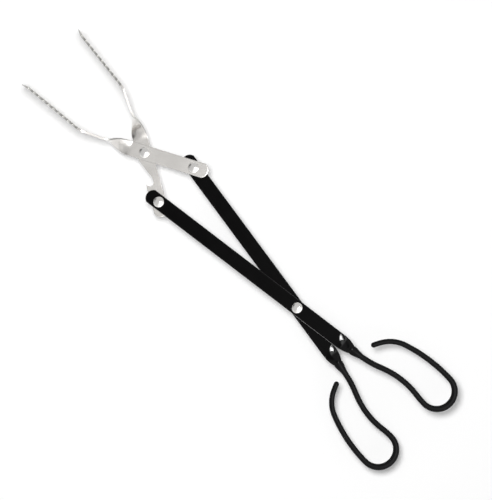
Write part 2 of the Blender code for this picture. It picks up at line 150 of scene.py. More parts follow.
# Jaw: distances along the bar from the link rivet, angles in degrees
NECK_SET = -2.4
NECK_START = 0.072
NECK_LENGTH = 0.010
TWIST_START = 0.0745
TWIST_END = 0.1045
TWIST_EASE = 0.004  # length over which the twist takes hold and lets go
DROP_END = 0.107
TWIST_BOW = 0.0010
BOW_MIDDLE = 0.0965
BOW_HALF_LENGTH = 0.0165
BEND_MIDDLE = 0.1372
FLARE_START = 0.100
FLARE_END = BEND_MIDDLE - 0.001
SHEARED_EDGE_END = 0.110  # the bar's sheared edges fade out by here
BEND_ANGLE = -20.1
BEND_LENGTH = 0.0105
BLADE_LENGTH = 0.0758
BLADE_WIDTH = 0.056
LIP_ANGLE = 21.5
LIP_BEND_LENGTH = 0.003
LIP_LENGTH = 0.0072
LIP_GRIND = 0.0066
LIP_EDGE = 0.0006
LIP_CORNER_SHARE = 0.45  # the most of the lip's thickness that each of its corners may take
TOOTH_PITCH = 0.0072
TOOTH_COUNT = 10
FIRST_TOOTH = 0.1400
RIDGE_COUNT = 8
RIDGE_HEIGHT = 0.0006
BLADE_TIP = BEND_MIDDLE + BLADE_LENGTH + LIP_LENGTH

# Rivets and washers
SHANK_RADIUS = 0.003
HOLE_RADIUS = SHANK_RADIUS + GAP
CLEARANCE_HOLE_RADIUS = 0.0050
HEAD_RADIUS = 0.00625
HEAD_HEIGHT = 0.0024
TAIL_RADIUS = 0.0046
TAIL_HEIGHT = 0.0015
TAIL_SHOULDER = (0.0043, 0.0009)  # radius, distance below the formed tail's upper face
TAIL_FLAT_RADIUS = 0.0029
RIM_HEIGHT = 0.0007
RIM_SIDE_HEIGHT = 0.00042
RIM_ROUND = 0.0003
DOME_POWER = 1.5  # above 1 for a dome that falls away sooner than an ellipse
DOME_STEPS = 24
BACK_WASHER_THICKNESS = 0.0010
WASHER_ROLL = 0.3  # the share of a washer's thickness that its rolled-over rim takes
ROUND_STEPS = 64
ROUNDING_STEPS = 4
OUTER_FACE = PLATE / 2 + LAYER / 2

# Sharpest bends, in degrees, that are still shaded smooth
ARM_CREASE = 40
GRIP_CREASE = 50
JAW_CREASE = 34
RIVET_CREASE = 40
WASHER_CREASE = 30

MAIN_PIVOT = Vector(frame["joints"][0]["pos_m"])
LINK_X = ARM_REACH * math.cos(ARM_ANGLE)
LINK_Y = ARM_REACH * math.sin(ARM_ANGLE)


def smoothstep(low, high, value):
    """Rise from 0 to 1 between low and high with flat ends."""
    x = min(max((value - low) / (high - low), 0.0), 1.0)
    return x * x * (3 - 2 * x)


def blend(a, b, share):
    return a + (b - a) * share


def spaced(low, high, steps):
    """Even distances from low to just before high."""
    return [blend(low, high, n / steps) for n in range(steps)]


# Shapes


class BentLine:
    """Straight stretches and arcs in a plane, given as pairs of length and turn in degrees."""

    def __init__(self, stretches):
        self.stretches = [(length, math.radians(turn)) for length, turn in stretches]
        self.length = sum(length for length, _ in self.stretches)

    def at(self, distance):
        """The point and the heading at a distance along the line."""
        x, y, heading = 0.0, 0.0, 0.0
        for number, (length, turn) in enumerate(self.stretches):
            last = number == len(self.stretches) - 1
            run = distance if last else min(distance, length)
            part = turn * run / length
            # a chord of an arc points half way between the arc's end headings
            chord = run if abs(part) < STRAIGHT else 2 * run / part * math.sin(part / 2)
            x += chord * math.cos(heading + part / 2)
            y += chord * math.sin(heading + part / 2)
            heading += part
            distance -= run
            if distance <= 0 and not last:
                break
        return x, y, heading


def rolled(name, stations, ring, place, ground=None):
    """Roll a sheet into a closed piece, from the points round it that ring(station) gives.

    place turns the points into the frame. The UV map "run" holds metres along the piece and metres
    round it. The UV map "ground" holds how far each point lies on a ground edge
    or on an edge with painted light, as ground(station) gives it.
    """
    rings = [[place @ Vector(point) for point in ring(station)] for station in stations]
    around, last = len(rings[0]), len(stations) - 1
    along = [0.0]
    for near, far in zip(rings, rings[1:]):
        middle = sum(near, Vector()) / around
        along.append(along[-1] + (sum(far, Vector()) / around - middle).length)
    girth = [[0.0] for _ in rings]
    for points, run in zip(rings, girth):
        for k in range(around):
            run.append(run[-1] + (points[(k + 1) % around] - points[k]).length)
    bm = bmesh.new()
    bmesh.ops.create_grid(bm, x_segments=last, y_segments=around, size=1.0)
    run_map = bm.loops.layers.uv.new("run")
    ground_and_painted_light_map = bm.loops.layers.uv.new("ground")
    shares = [ground(station) if ground else [0.0] * around for station in stations]
    spot = {}
    for v in bm.verts:
        spot[v] = round((v.co.x + 1) / 2 * last), round((v.co.y + 1) / 2 * around)
    for face in bm.faces:
        for corner in face.loops:
            column, row = spot[corner.vert]
            corner[run_map].uv = along[column], girth[column][row]
            corner[ground_and_painted_light_map].uv = shares[column][row % around], 0.0
    for v, (column, row) in spot.items():
        v.co = rings[column][row % around]
    bmesh.ops.remove_doubles(bm, verts=bm.verts, dist=ROLLED_SEAM)
    bmesh.ops.holes_fill(bm, edges=[e for e in bm.edges if e.is_boundary])
    return piece(name, bm)


def turned(name, profile, centre):
    """Spin a profile of (radius, height), closed or from axis to axis, about centre's vertical."""
    bm = bmesh.new()
    verts = [bm.verts.new((radius, 0, height)) for radius, height in profile]
    edges = [bm.edges.new(pair) for pair in zip(verts, verts[1:])]
    if profile[0][0] > 0:
        edges.append(bm.edges.new((verts[-1], verts[0])))
    bmesh.ops.spin(
        bm,
        geom=verts + edges,
        axis=(0, 0, 1),
        cent=(0, 0, 0),
        angle=math.tau,
        steps=ROUND_STEPS,
        use_merge=True,
    )
    bmesh.ops.remove_doubles(bm, verts=bm.verts, dist=SPUN_SEAM)
    run_map = bm.loops.layers.uv.new("run")
    for face in bm.faces:
        for corner in face.loops:
            corner[run_map].uv = corner.vert.co.xy.length, corner.vert.co.z
    bmesh.ops.translate(bm, verts=bm.verts, vec=centre)
    return piece(name, bm)


def piece(name, bm):
    """A finished bmesh as an object at the origin, with its faces outwards."""
    bmesh.ops.recalc_face_normals(bm, faces=bm.faces)
    mesh = bpy.data.meshes.new(name)
    bm.to_mesh(mesh)
    bm.free()
    made = bpy.data.objects.new(name, mesh)
    bpy.context.scene.collection.objects.link(made)
    return made


def cut(target, cutters):
    """Take the cutters' shapes out of the target and drop them."""
    for cutter in cutters:
        modifier = target.modifiers.new("cut", "BOOLEAN")
        modifier.operation = "DIFFERENCE"
        modifier.solver = "EXACT"
        modifier.object = cutter
    bpy.context.view_layer.update()
    graph = bpy.context.evaluated_depsgraph_get()
    whole = target.data
    target.data = bpy.data.meshes.new_from_object(target.evaluated_get(graph))
    target.data.name = target.name
    target.modifiers.clear()
    bpy.data.meshes.remove(whole)
    for cutter in cutters:
        bpy.data.objects.remove(cutter)
    # close up the slivers that a cut leaves where it runs past a corner
    bm = bmesh.new()
    bm.from_mesh(target.data)
    bmesh.ops.remove_doubles(bm, verts=bm.verts, dist=SLIVER)
    bmesh.ops.dissolve_degenerate(bm, edges=bm.edges, dist=SLIVER)
    bmesh.ops.holes_fill(bm, edges=[e for e in bm.edges if e.is_boundary])
    bm.to_mesh(target.data)
    bm.free()


def finish_surface(target, material, sharp_degrees):
    """Give a piece its material and smooth shading, with sharp creases and even flat faces."""
    target.data.materials.clear()
    target.data.materials.append(material)
    target.data.shade_smooth()
    target.data.set_sharp_from_angle(angle=math.radians(sharp_degrees))
    weighted = target.modifiers.new("weighted normals", "WEIGHTED_NORMAL")
    weighted.keep_sharp = True


def drum(radius, height, place):
    """A cylinder along the place's Z, for cutting."""
    bm = bmesh.new()
    bmesh.ops.create_cone(
        bm, cap_ends=True, segments=ROUND_STEPS, radius1=radius, radius2=radius, depth=height
    )
    bmesh.ops.transform(bm, matrix=place, verts=bm.verts)
    return piece("drum_cutter", bm)


def bar_ring(half_width, low, high, radius, face_steps, side_steps):
    """Points (across, out) round a flat bar's section with rounded corners.

    half_width(out) is the section's half width at a height between its low and high face. The
    points start at the high face's corner on the positive side and run by way of that face.
    """
    corners = ((1, high - radius), (-1, high - radius), (-1, low + radius), (1, low + radius))
    arcs = []
    for n, (side, level) in enumerate(corners):
        arc = []
        for k in range(CORNER_STEPS + 1):
            angle = math.pi / 2 * (n + k / CORNER_STEPS)
            out = level + radius * math.sin(angle)
            arc.append((side * (half_width(out) - radius) + radius * math.cos(angle), out))
        arcs.append(arc)
    points = []
    for n, arc in enumerate(arcs):
        points += arc
        start, end = arc[-1], arcs[(n + 1) % 4][0]
        steps = side_steps if n % 2 else face_steps
        for k in range(1, steps):
            points.append(tuple(blend(a, b, k / steps) for a, b in zip(start, end)))
    return points


def side_shares(face_steps, side_steps):
    """For each point of a bar's ring: 1 on its narrow sides, 0 on its wide faces, eased between."""
    rising = [k / CORNER_STEPS for k in range(CORNER_STEPS + 1)]
    falling = rising[::-1]
    face, side = [0.0] * (face_steps - 1), [1.0] * (side_steps - 1)
    return falling + face + rising + side + falling + face + rising + side


def side_levels(face_steps, side_steps):
    """For each point of a bar's ring: 1 at the high face, 0 at the low one."""
    corner, face = CORNER_STEPS + 1, face_steps - 1
    climb = [k / side_steps for k in range(1, side_steps)]
    return [1.0] * (2 * corner + face) + climb[::-1] + [0.0] * (2 * corner + face) + climb


def end_distances(steps):
    """Distances in from a bar's rounded end, closer together near the tip."""
    widest = math.asin(BAR_WIDTH / 2 / END_RADIUS)
    shares = [(n + TIP_STEP) / (steps + TIP_STEP) for n in range(steps + 1)]
    return [END_RADIUS * (1 - math.cos(widest * share)) for share in shares]


def end_half_width(inset):
    """Half width of a bar at a distance in from its rounded end."""
    from_centre = max(END_RADIUS - inset, 0.0)
    return min(BAR_WIDTH / 2, math.sqrt(max(END_RADIUS**2 - from_centre**2, 0.0)))


def end_half_thickness(inset, radius=EDGE_RADIUS):
    """Half thickness of a bar near its rounded end, where its top and bottom edges are tumbled."""
    short = max(radius - inset, 0.0)
    return PLATE / 2 - radius + math.sqrt(radius**2 - short**2)


def half_frame(half):
    """The frame of the top or bottom half, at the main rivet in the linkage plane."""
    turned_over = Matrix.Rotation(math.pi if half == "bottom" else 0.0, 4, "X")
    return Matrix.Translation(MAIN_PIVOT) @ turned_over


def arm_frame(half):
    place = Matrix.Translation((0, 0, LAYER / 2))
    return half_frame(half) @ place @ Matrix.Rotation(ARM_ANGLE, 4, "Z")


def jaw_frame(half):
    place = Matrix.Translation((LINK_X, -LINK_Y, LAYER / 2))
    return half_frame(half) @ place @ Matrix.Rotation(JAW_ANGLE, 4, "Z")


# Arms

ARM_FACE_STEPS = 24
ARM_SIDE_STEPS = 2
ARM_BAR_STATIONS = 24
ARM_TAIL_STATIONS = 90
ARM_LEAD = 0.004  # how far from the rounded end and from the tail the bar's own stations stay


def tail_section(behind):
    """Width, thickness and roundness of the arm behind the main rivet, eased between the rows."""
    rows = ARM_TAIL
    if behind <= rows[0][0]:
        return rows[0][1:]
    last = len(rows) - 1
    n = next((k for k in range(last) if behind <= rows[k + 1][0]), last - 1)
    share = (behind - rows[n][0]) / (rows[n + 1][0] - rows[n][0])
    found = []
    for field in (1, 2, 3):
        a, b = rows[n][field], rows[n + 1][field]
        before = rows[max(n - 1, 0)]
        after = rows[min(n + 2, last)]
        slope_in = (b - before[field]) / (rows[n + 1][0] - before[0])
        slope_out = (after[field] - a) / (after[0] - rows[n][0])
        if n == 0:
            slope_in = 0.0
        gap = rows[n + 1][0] - rows[n][0]
        t, t2, t3 = share, share**2, share**3
        found.append(
            (2 * t3 - 3 * t2 + 1) * a
            + (t3 - 2 * t2 + t) * gap * slope_in
            + (3 * t2 - 2 * t3) * b
            + (t3 - t2) * gap * slope_out
        )
    width, thickness, roundness = found
    return width, thickness, min(max(roundness, 0.0), 1.0)


def fold(behind, across, middle):
    """How far an arm's face is pressed in: a slope beyond the crease, then back out."""
    beyond = (behind - FOLD_START) * math.cos(FOLD_SLANT) + across * math.sin(FOLD_SLANT)
    beyond = max(beyond, 0.0)
    on_slope = min(beyond, FOLD_LENGTH)
    rounded_off = min(on_slope, FOLD_ROUNDING)
    drop = on_slope - rounded_off + rounded_off**2 / (2 * FOLD_ROUNDING)
    beside = min(abs(across - middle) / FOLD_HALF_WIDTH, 1.0)
    pressed = FOLD_SLOPE * drop * math.cos(math.pi / 2 * beside)
    return pressed * (1 - smoothstep(FOLD_LENGTH, FOLD_LENGTH + FOLD_FADE, beyond))


def arm_ring(x):
    """The arm's section at x along it: a flat bar in front, drawn in to a round socket behind."""
    inset = ARM_REACH + ARM_END_REACH - x
    width, thickness, roundness = tail_section(-x)
    half_width = min(width / 2, end_half_width(inset)) if x > 0 else width / 2
    half_thick = end_half_thickness(inset) if x > 0 else thickness / 2
    radius = min(EDGE_RADIUS, half_thick * CORNER_LIMIT, half_width * CORNER_LIMIT)
    faces = -half_thick, half_thick
    flat = bar_ring(lambda out: half_width, *faces, radius, ARM_FACE_STEPS, ARM_SIDE_STEPS)
    rise = SOCKET_RISE * smoothstep(PLATE, 3 * PLATE, thickness)
    points = []
    for k, (across, out) in enumerate(flat):
        angle = math.tau * (k + 1) / len(flat)
        across = blend(across, width / 2 * math.cos(angle), roundness)
        out = blend(out, thickness / 2 * math.sin(angle), roundness)
        # the upper face is pressed on its right, the lower face on its left
        side, middle = (-1, FOLD_MIDDLES[0]) if out > 0 else (1, FOLD_MIDDLES[1])
        out *= 1 - 2 * fold(-x, side * across, middle) / thickness
        points.append((x, across, out + rise))
    return points


def make_arm(half, enamel):
    tip = ARM_REACH + ARM_END_REACH
    tail_start, tail_end = ARM_TAIL[0][0], ARM_TAIL[-1][0]
    stations = [tip - inset for inset in end_distances(END_STATIONS)]
    stations += spaced(stations[-1] - ARM_LEAD, ARM_LEAD - tail_start, ARM_BAR_STATIONS)
    stations += spaced(ARM_LEAD - tail_start, -tail_end, ARM_TAIL_STATIONS) + [-tail_end]
    rows = len(side_shares(ARM_FACE_STEPS, ARM_SIDE_STEPS))
    # the first rounded corner along one long edge of each arm carries a painted highlight in the
    # enamel
    painted_edge_light = [1.0] * CORNER_STEPS + [0.0] * (rows - CORNER_STEPS)
    name = f"{half}_arm_enamelled"
    arm = rolled(name, stations, arm_ring, arm_frame(half), lambda x: painted_edge_light)
    holes = [
        drum(HOLE_RADIUS, 4 * PLATE, arm_frame(half) @ Matrix.Translation((x, 0, 0)))
        for x in (0.0, ARM_REACH)
    ]
    bore = Matrix.Translation((-tail_end, 0, SOCKET_RISE)) @ Matrix.Rotation(math.pi / 2, 4, "Y")
    holes.append(drum(ROD_RADIUS + GAP, 2 * SOCKET_DEPTH, arm_frame(half) @ bore))
    cut(arm, holes)
    finish_surface(arm, enamel, ARM_CREASE)
    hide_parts(f"{half}_arm")
    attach(arm, f"{half}_arm")


# Grips


def grip_radius(distance, length):
    """The dipped coating's outer radius at a distance along the rod."""
    mouth = GRIP_MOUTH - ROD_START
    narrowing = 1 - smoothstep(mouth, mouth + MOUTH_TAPER, distance)
    from_swell = abs(distance - SWELL_MIDDLE) / SWELL_HALF_LENGTH
    swell = 1 - smoothstep(0.0, 1.0, from_swell)
    thinning = smoothstep(SWELL_MIDDLE + SWELL_HALF_LENGTH, length, distance)
    radius = GRIP_RADIUS + (MOUTH_RADIUS - GRIP_RADIUS) * narrowing
    return radius + GRIP_SWELL * swell - (GRIP_RADIUS - GRIP_TIP_RADIUS) * thinning


def grip_half_height(distance, length):
    """Half the coating's height: lower than wide over the oval socket, round beyond it."""
    mouth = GRIP_MOUTH - ROD_START
    round_share = smoothstep(mouth, mouth + MOUTH_TAPER, distance)
    _, thickness, _ = tail_section(GRIP_MOUTH)
    return blend(thickness / 2 + MOUTH_COAT, grip_radius(distance, length), round_share)


GRIP_SIDES = 32
GRIP_BORE_STATIONS = 90
GRIP_SOCKET_STATIONS = 10
GRIP_LIP_STEPS = 6
GRIP_OUTER_STATIONS = 190
GRIP_TIP_STEPS = 12


def grip_stations(length):
    """(distance, half width, half height) from the bore's blind end to the mouth, then the tip."""
    mouth = GRIP_MOUTH - ROD_START
    socket_end = ARM_TAIL[-1][0] - ROD_START
    bore = ROD_RADIUS + GAP / 2
    inside = [(s, bore, bore) for s in spaced(length + GAP, socket_end + GAP, GRIP_BORE_STATIONS)]
    for s in spaced(socket_end + GAP / 2, mouth + MOUTH_LIP, GRIP_SOCKET_STATIONS):
        width, thickness, _ = tail_section(s + ROD_START)
        inside.append((s, (width + GAP) / 2, (thickness + GAP) / 2))
    width, thickness, _ = tail_section(mouth + ROD_START)
    wide, high = grip_radius(mouth, length), grip_half_height(mouth, length)
    narrow, low = (width + GAP) / 2, (thickness + GAP) / 2
    lip = []
    for k in range(GRIP_LIP_STEPS + 1):
        angle = math.pi * k / GRIP_LIP_STEPS
        share = (1 - math.cos(angle)) / 2
        s = mouth + MOUTH_LIP * (1 - math.sin(angle))
        lip.append((s, blend(narrow, wide, share), blend(low, high, share)))
    outside = []
    for s in spaced(mouth + MOUTH_LIP_END, length, GRIP_OUTER_STATIONS):
        outside.append((s, grip_radius(s, length), grip_half_height(s, length)))
    dome = length + TIP_COVER - GRIP_TIP_RADIUS
    for k in range(1, GRIP_TIP_STEPS):
        angle = math.pi / 2 * k / GRIP_TIP_STEPS
        radius = GRIP_TIP_RADIUS * math.cos(angle)
        outside.append((dome + GRIP_TIP_RADIUS * math.sin(angle), radius, radius))
    return inside + lip + outside


def make_grip(half, vinyl):
    line = BentLine(HANDLE_BENDS[half])

    def ring(station):
        distance, half_width, half_height = station
        along, outward, heading = line.at(distance)
        points = []
        for k in range(GRIP_SIDES):
            angle = math.tau * k / GRIP_SIDES
            sideways = half_width * math.cos(angle)
            x = -(ROD_START + along - sideways * math.sin(heading))
            y = -(outward + sideways * math.cos(heading))
            points.append((x, y, SOCKET_RISE + half_height * math.sin(angle)))
        return points

    grip = rolled(f"{half}_dipped_grip", grip_stations(line.length), ring, arm_frame(half))
    finish_surface(grip, vinyl, GRIP_CREASE)
    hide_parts(f"{half}_grip")
    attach(grip, f"{half}_arm")


# Jaws

SCALLOP_DEPTH = (0.0015, 0.0006)  # at the inner and the outer face
SCALLOP_FULLNESS = 0.7  # below 1 for fuller scallops
CREST_SHARE = (0.0, 0.11)  # half of a crest's width, in tooth pitches, at the same faces
CREST_EDGE = 0.0001  # the scallop's depth at which its ground finish and painted shade are full
CREST_SHADE_SHARE = 0.6  # how far the crests share the ground edges' finish and painted shade, so they stay lighter as a painted highlight
RIDGE_HALF_WIDTH = 0.22  # in tooth pitches
BLADE_FACE_STEPS = 14
BLADE_SIDE_STEPS = 4
JAW_BAR_STATIONS = 22
JAW_TWIST_STATIONS = 44
JAW_FLARE_STATIONS = 36
TOOTH_STATIONS = 18
LIP_STATIONS = 14
JAW_LEAD = 0.003  # kept clear of stations after the rounded end
TEETH_END = FIRST_TOOTH + TOOTH_COUNT * TOOTH_PITCH

JAW_LINE = BentLine(
    (
        (JAW_END_REACH + NECK_START, 0.0),
        (NECK_LENGTH, NECK_SET),
        (BEND_MIDDLE - BEND_LENGTH / 2 - NECK_START - NECK_LENGTH, 0.0),
        (BEND_LENGTH, BEND_ANGLE),
        (BLADE_LENGTH - BEND_LENGTH / 2 - LIP_BEND_LENGTH / 2, 0.0),
        (LIP_BEND_LENGTH, LIP_ANGLE),
        (LIP_LENGTH - LIP_BEND_LENGTH / 2, 0.0),
    )
)


def scallop(s, level):
    """Depth ground out of a blade's side edge; level is 0 at the inner face and 1 at the outer."""
    teeth = (s - FIRST_TOOTH) / TOOTH_PITCH
    if not 0 < teeth < TOOTH_COUNT:
        return 0.0
    crest = blend(*CREST_SHARE, level)
    share = (teeth % 1 - crest) / (1 - 2 * crest)
    if not 0 < share < 1:
        return 0.0
    return blend(*SCALLOP_DEPTH, level) * math.sin(math.pi * share) ** SCALLOP_FULLNESS


def ridge(s):
    """Height of the inner face's cross ridges, one on each of the first teeth."""
    teeth = (s - FIRST_TOOTH) / TOOTH_PITCH
    nearest = round(teeth)
    if not 0 <= nearest < RIDGE_COUNT:
        return 0.0
    away = min(abs(teeth - nearest) / RIDGE_HALF_WIDTH, 1.0)
    return RIDGE_HEIGHT * (0.5 + 0.5 * math.cos(math.pi * away))


def twist(s):
    """How far the bar is twisted at a distance along it: an even twist with short eased ends."""
    run = min(max(s - TWIST_START, 0.0), TWIST_END - TWIST_START)
    left = TWIST_END - TWIST_START - run
    even = TWIST_END - TWIST_START - TWIST_EASE
    if run < TWIST_EASE:
        share = run**2 / (2 * TWIST_EASE * even)
    elif left < TWIST_EASE:
        share = 1 - left**2 / (2 * TWIST_EASE * even)
    else:
        share = (run - TWIST_EASE / 2) / even
    return math.pi / 2 * share


def jaw_stations():
    stations = [inset - JAW_END_REACH for inset in end_distances(END_STATIONS)]
    stations += spaced(stations[-1] + JAW_LEAD, NECK_START, JAW_BAR_STATIONS)
    stations += spaced(NECK_START, TWIST_END, JAW_TWIST_STATIONS)
    stations += spaced(TWIST_END, FIRST_TOOTH, JAW_FLARE_STATIONS)
    stations += spaced(FIRST_TOOTH, TEETH_END, TOOTH_COUNT * TOOTH_STATIONS)
    stations += spaced(TEETH_END, BLADE_TIP - EDGE_RADIUS, LIP_STATIONS)
    return stations + spaced(BLADE_TIP - EDGE_RADIUS, BLADE_TIP, CORNER_STEPS) + [BLADE_TIP]


def make_jaw(half, stainless):
    bow_side = 1 if half == "bottom" else -1
    half_blade = BLADE_WIDTH / 2

    def ring(s):
        x, y, heading = JAW_LINE.at(s + JAW_END_REACH)
        turn = twist(s)
        drop = LAYER / 2 * smoothstep(NECK_START, DROP_END, s)
        from_bow = abs(s - BOW_MIDDLE) / BOW_HALF_LENGTH
        bow = bow_side * TWIST_BOW * (1 - smoothstep(0.0, 1.0, from_bow))
        inset = s + JAW_END_REACH
        spread = smoothstep(FLARE_START, FLARE_END, s)
        widest = blend(end_half_width(inset), half_blade, spread)
        ground_off = (PLATE - LIP_EDGE) * max(0.0, 1 - (BLADE_TIP - s) / LIP_GRIND)
        high = end_half_thickness(inset, REAR_EDGE_RADIUS) - ground_off
        low = -end_half_thickness(inset, REAR_EDGE_RADIUS) - ridge(s)
        radius = blend(REAR_EDGE_RADIUS, EDGE_RADIUS, smoothstep(*REAR_EDGE_FADE, inset))
        radius = min(radius, (high - low) * LIP_CORNER_SHARE, widest * CORNER_LIMIT)
        middle = Vector((x - JAW_END_REACH, y + bow, -drop))
        beside = Vector((-math.sin(heading), math.cos(heading), 0))
        up = Vector((0, 0, 1))
        across = beside * math.cos(turn) - up * math.sin(turn)
        outer = up * math.cos(turn) + beside * math.sin(turn)

        def half_width(out):
            return widest - scallop(s, min(max(out / PLATE + 0.5, 0.0), 1.0))

        section = bar_ring(half_width, low, high, radius, BLADE_FACE_STEPS, BLADE_SIDE_STEPS)
        return [middle + across * a + outer * o for a, o in section]

    sides = side_shares(BLADE_FACE_STEPS, BLADE_SIDE_STEPS)
    levels = side_levels(BLADE_FACE_STEPS, BLADE_SIDE_STEPS)

    def ground(s):
        """Sheared and ground edges, with painted shade in the scallop hollows; the crests take less
        of it and read as a painted highlight.
        """
        if s < FIRST_TOOTH:
            sheared = 1 - smoothstep(FLARE_START, SHEARED_EDGE_END, s)
            return [share * sheared for share in sides]
        if s > TEETH_END:
            return sides
        # the scallop hollows take the full dark colour as painted shade; the crests take less and
        # stay lighter as a painted highlight
        cut_in = [min(scallop(s, level) / CREST_EDGE, 1.0) for level in levels]
        return [share * blend(CREST_SHADE_SHARE, 1.0, depth) for share, depth in zip(sides, cut_in)]

    name = f"{half}_jaw_blade"
    jaw = rolled(name, jaw_stations(), ring, jaw_frame(half), ground)
    jaw_hole = CLEARANCE_HOLE_RADIUS if half == "bottom" else HOLE_RADIUS
    cutters = [
        drum(radius, 4 * PLATE, jaw_frame(half) @ Matrix.Translation((x, 0, 0)))
        for x, radius in ((0.0, HOLE_RADIUS), (JAW_REACH, jaw_hole))
    ]
    if half == "bottom":
        cutters += opener_and_notches(jaw_frame(half))
    cut(jaw, cutters)
    finish_surface(jaw, stainless, JAW_CREASE)
    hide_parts(f"{half}_jaw")
    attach(jaw, f"{half}_jaw")


OPENER_RAMP = ((0.0545, 0.0120), (0.0520, 0.0086), (0.0290, -0.0006), (0.0238, -0.0006))
OPENER_BITE = (0.0242, 0.0037)
OPENER_BITE_RADIUS = 0.0043
OPENER_BITE_ARC = (-96.0, -262.0)
OPENER_BITE_STEPS = 24
OPENER_HOOK = ((0.0178, 0.0086), (0.0165, 0.0120))
NOTCH_SPACING = 0.0274
NOTCH_WIDTH = 0.017
NOTCH_DEPTH = 0.005
NOTCH_CUTTER_LENGTH = 0.02


def opener_and_notches(place):
    """Cutters for the bottom jaw's bottle opener and for the two grate notches in its lip."""
    x, y = OPENER_BITE
    outline = list(OPENER_RAMP)
    for k in range(OPENER_BITE_STEPS + 1):
        angle = math.radians(blend(*OPENER_BITE_ARC, k / OPENER_BITE_STEPS))
        reach = OPENER_BITE_RADIUS * math.cos(angle), OPENER_BITE_RADIUS * math.sin(angle)
        outline.append((x + reach[0], y + reach[1]))
    outline += OPENER_HOOK
    bm = bmesh.new()
    face = bm.faces.new([bm.verts.new((px, -py, -2 * PLATE)) for px, py in outline])
    raised = bmesh.ops.extrude_face_region(bm, geom=[face])["geom"]
    raised = [v for v in raised if isinstance(v, bmesh.types.BMVert)]
    bmesh.ops.translate(bm, verts=raised, vec=(0, 0, 4 * PLATE))
    bmesh.ops.transform(bm, matrix=place, verts=bm.verts)
    cutters = [piece("opener_cutter", bm)]
    radius = ((NOTCH_WIDTH / 2) ** 2 + NOTCH_DEPTH**2) / (2 * NOTCH_DEPTH)
    x, y, heading = JAW_LINE.at(JAW_LINE.length)
    ahead = Vector((math.cos(heading), math.sin(heading), 0)) * (radius - NOTCH_DEPTH)
    for side in (-1, 1):
        spot = Vector((x - JAW_END_REACH, y, side * NOTCH_SPACING / 2 - LAYER / 2)) + ahead
        turn = Matrix.Rotation(heading, 4, "Z") @ Matrix.Rotation(math.pi / 2, 4, "X")
        cutters.append(drum(radius, NOTCH_CUTTER_LENGTH, place @ Matrix.Translation(spot) @ turn))
    return cutters


# Rivets and washers


def rounded(points, radius, steps):
    """A profile's points with each inner corner rounded off."""
    found = [points[0]]
    for before, corner, after in zip(points, points[1:], points[2:]):
        corner_v = Vector(corner)
        to_before, to_after = Vector(before) - corner_v, Vector(after) - corner_v
        reach = min(radius, to_before.length / 2, to_after.length / 2)
        start = corner_v + to_before.normalized() * reach
        end = corner_v + to_after.normalized() * reach
        for k in range(steps + 1):
            t = k / steps
            found.append(tuple(start * (1 - t) ** 2 + corner_v * 2 * t * (1 - t) + end * t**2))
    return found + [points[-1]]


def make_rivet(name, body, bright_steel, washer_steel):
    """A domed rivet with its spacer and its back washer, all riding on one body."""
    low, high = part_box(f"{name}_rivet")
    centre = (low + high) / 2
    centre.z = MAIN_PIVOT.z
    head_low = OUTER_FACE + GAP
    washer_high = -OUTER_FACE - GAP
    washer_low = washer_high - BACK_WASHER_THICKNESS
    tail_high = washer_low - GAP
    dome = [(0.0, head_low + HEAD_HEIGHT)]
    for k in range(1, DOME_STEPS + 1):
        angle = math.pi / 2 * k / DOME_STEPS
        rise = (HEAD_HEIGHT - RIM_HEIGHT) * max(math.cos(angle), 0.0) ** DOME_POWER
        dome.append(((HEAD_RADIUS - RIM_ROUND) * math.sin(angle), head_low + RIM_HEIGHT + rise))
    lower = [
        dome[-1],
        (HEAD_RADIUS, head_low + RIM_SIDE_HEIGHT),
        (HEAD_RADIUS, head_low),
        (SHANK_RADIUS, head_low),
        (SHANK_RADIUS, tail_high),
        (TAIL_RADIUS, tail_high),
        (TAIL_SHOULDER[0], tail_high - TAIL_SHOULDER[1]),
        (TAIL_FLAT_RADIUS, tail_high - TAIL_HEIGHT),
        (0.0, tail_high - TAIL_HEIGHT),
    ]
    profile = dome + rounded(lower, RIM_ROUND, ROUNDING_STEPS)[1:]
    rivet = turned(f"{name}_domed_rivet", profile, centre)
    finish_surface(rivet, bright_steel, RIVET_CREASE)
    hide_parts(f"{name}_rivet")
    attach(rivet, body)
    for ring_name in ("spacer", "back_washer"):
        node = f"{name}_{ring_name}"
        low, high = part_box(node)
        radius, bottom, top = (high.x - low.x) / 2, low.z - centre.z, high.z - centre.z
        edge = (top - bottom) * WASHER_ROLL
        middle = edge * WASHER_ROLL
        profile = [
            (radius - edge, top),
            (radius - middle, top - middle),
            (radius, top - edge),
            (radius, bottom + edge),
            (radius - middle, bottom + middle),
            (radius - edge, bottom),
            (HOLE_RADIUS, bottom),
            (HOLE_RADIUS, top),
        ]
        ring = turned(f"{node}_ring", profile, centre)
        finish_surface(ring, washer_steel, WASHER_CREASE)
        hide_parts(node)
        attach(ring, body)


# Finishes: colours go from the darker to the lighter where there are two

STAINLESS = ((0.665, 0.645, 0.62, 1), (0.695, 0.675, 0.65, 1))
STAINLESS_STREAK = (0.72, 0.70, 0.675, 1)
# the ground edges' duller steel, its darkness partly painted shade on the blades' scalloped edges
GROUND_STEEL_AND_SHADE = (0.40, 0.395, 0.38, 1)
GROOVE_SPREAD = 0.3
ENAMEL = ((0.0011, 0.0010, 0.0011, 1), (0.0019, 0.0018, 0.0019, 1))
ENAMEL_SPECK = (0.02, 0.02, 0.02, 1)
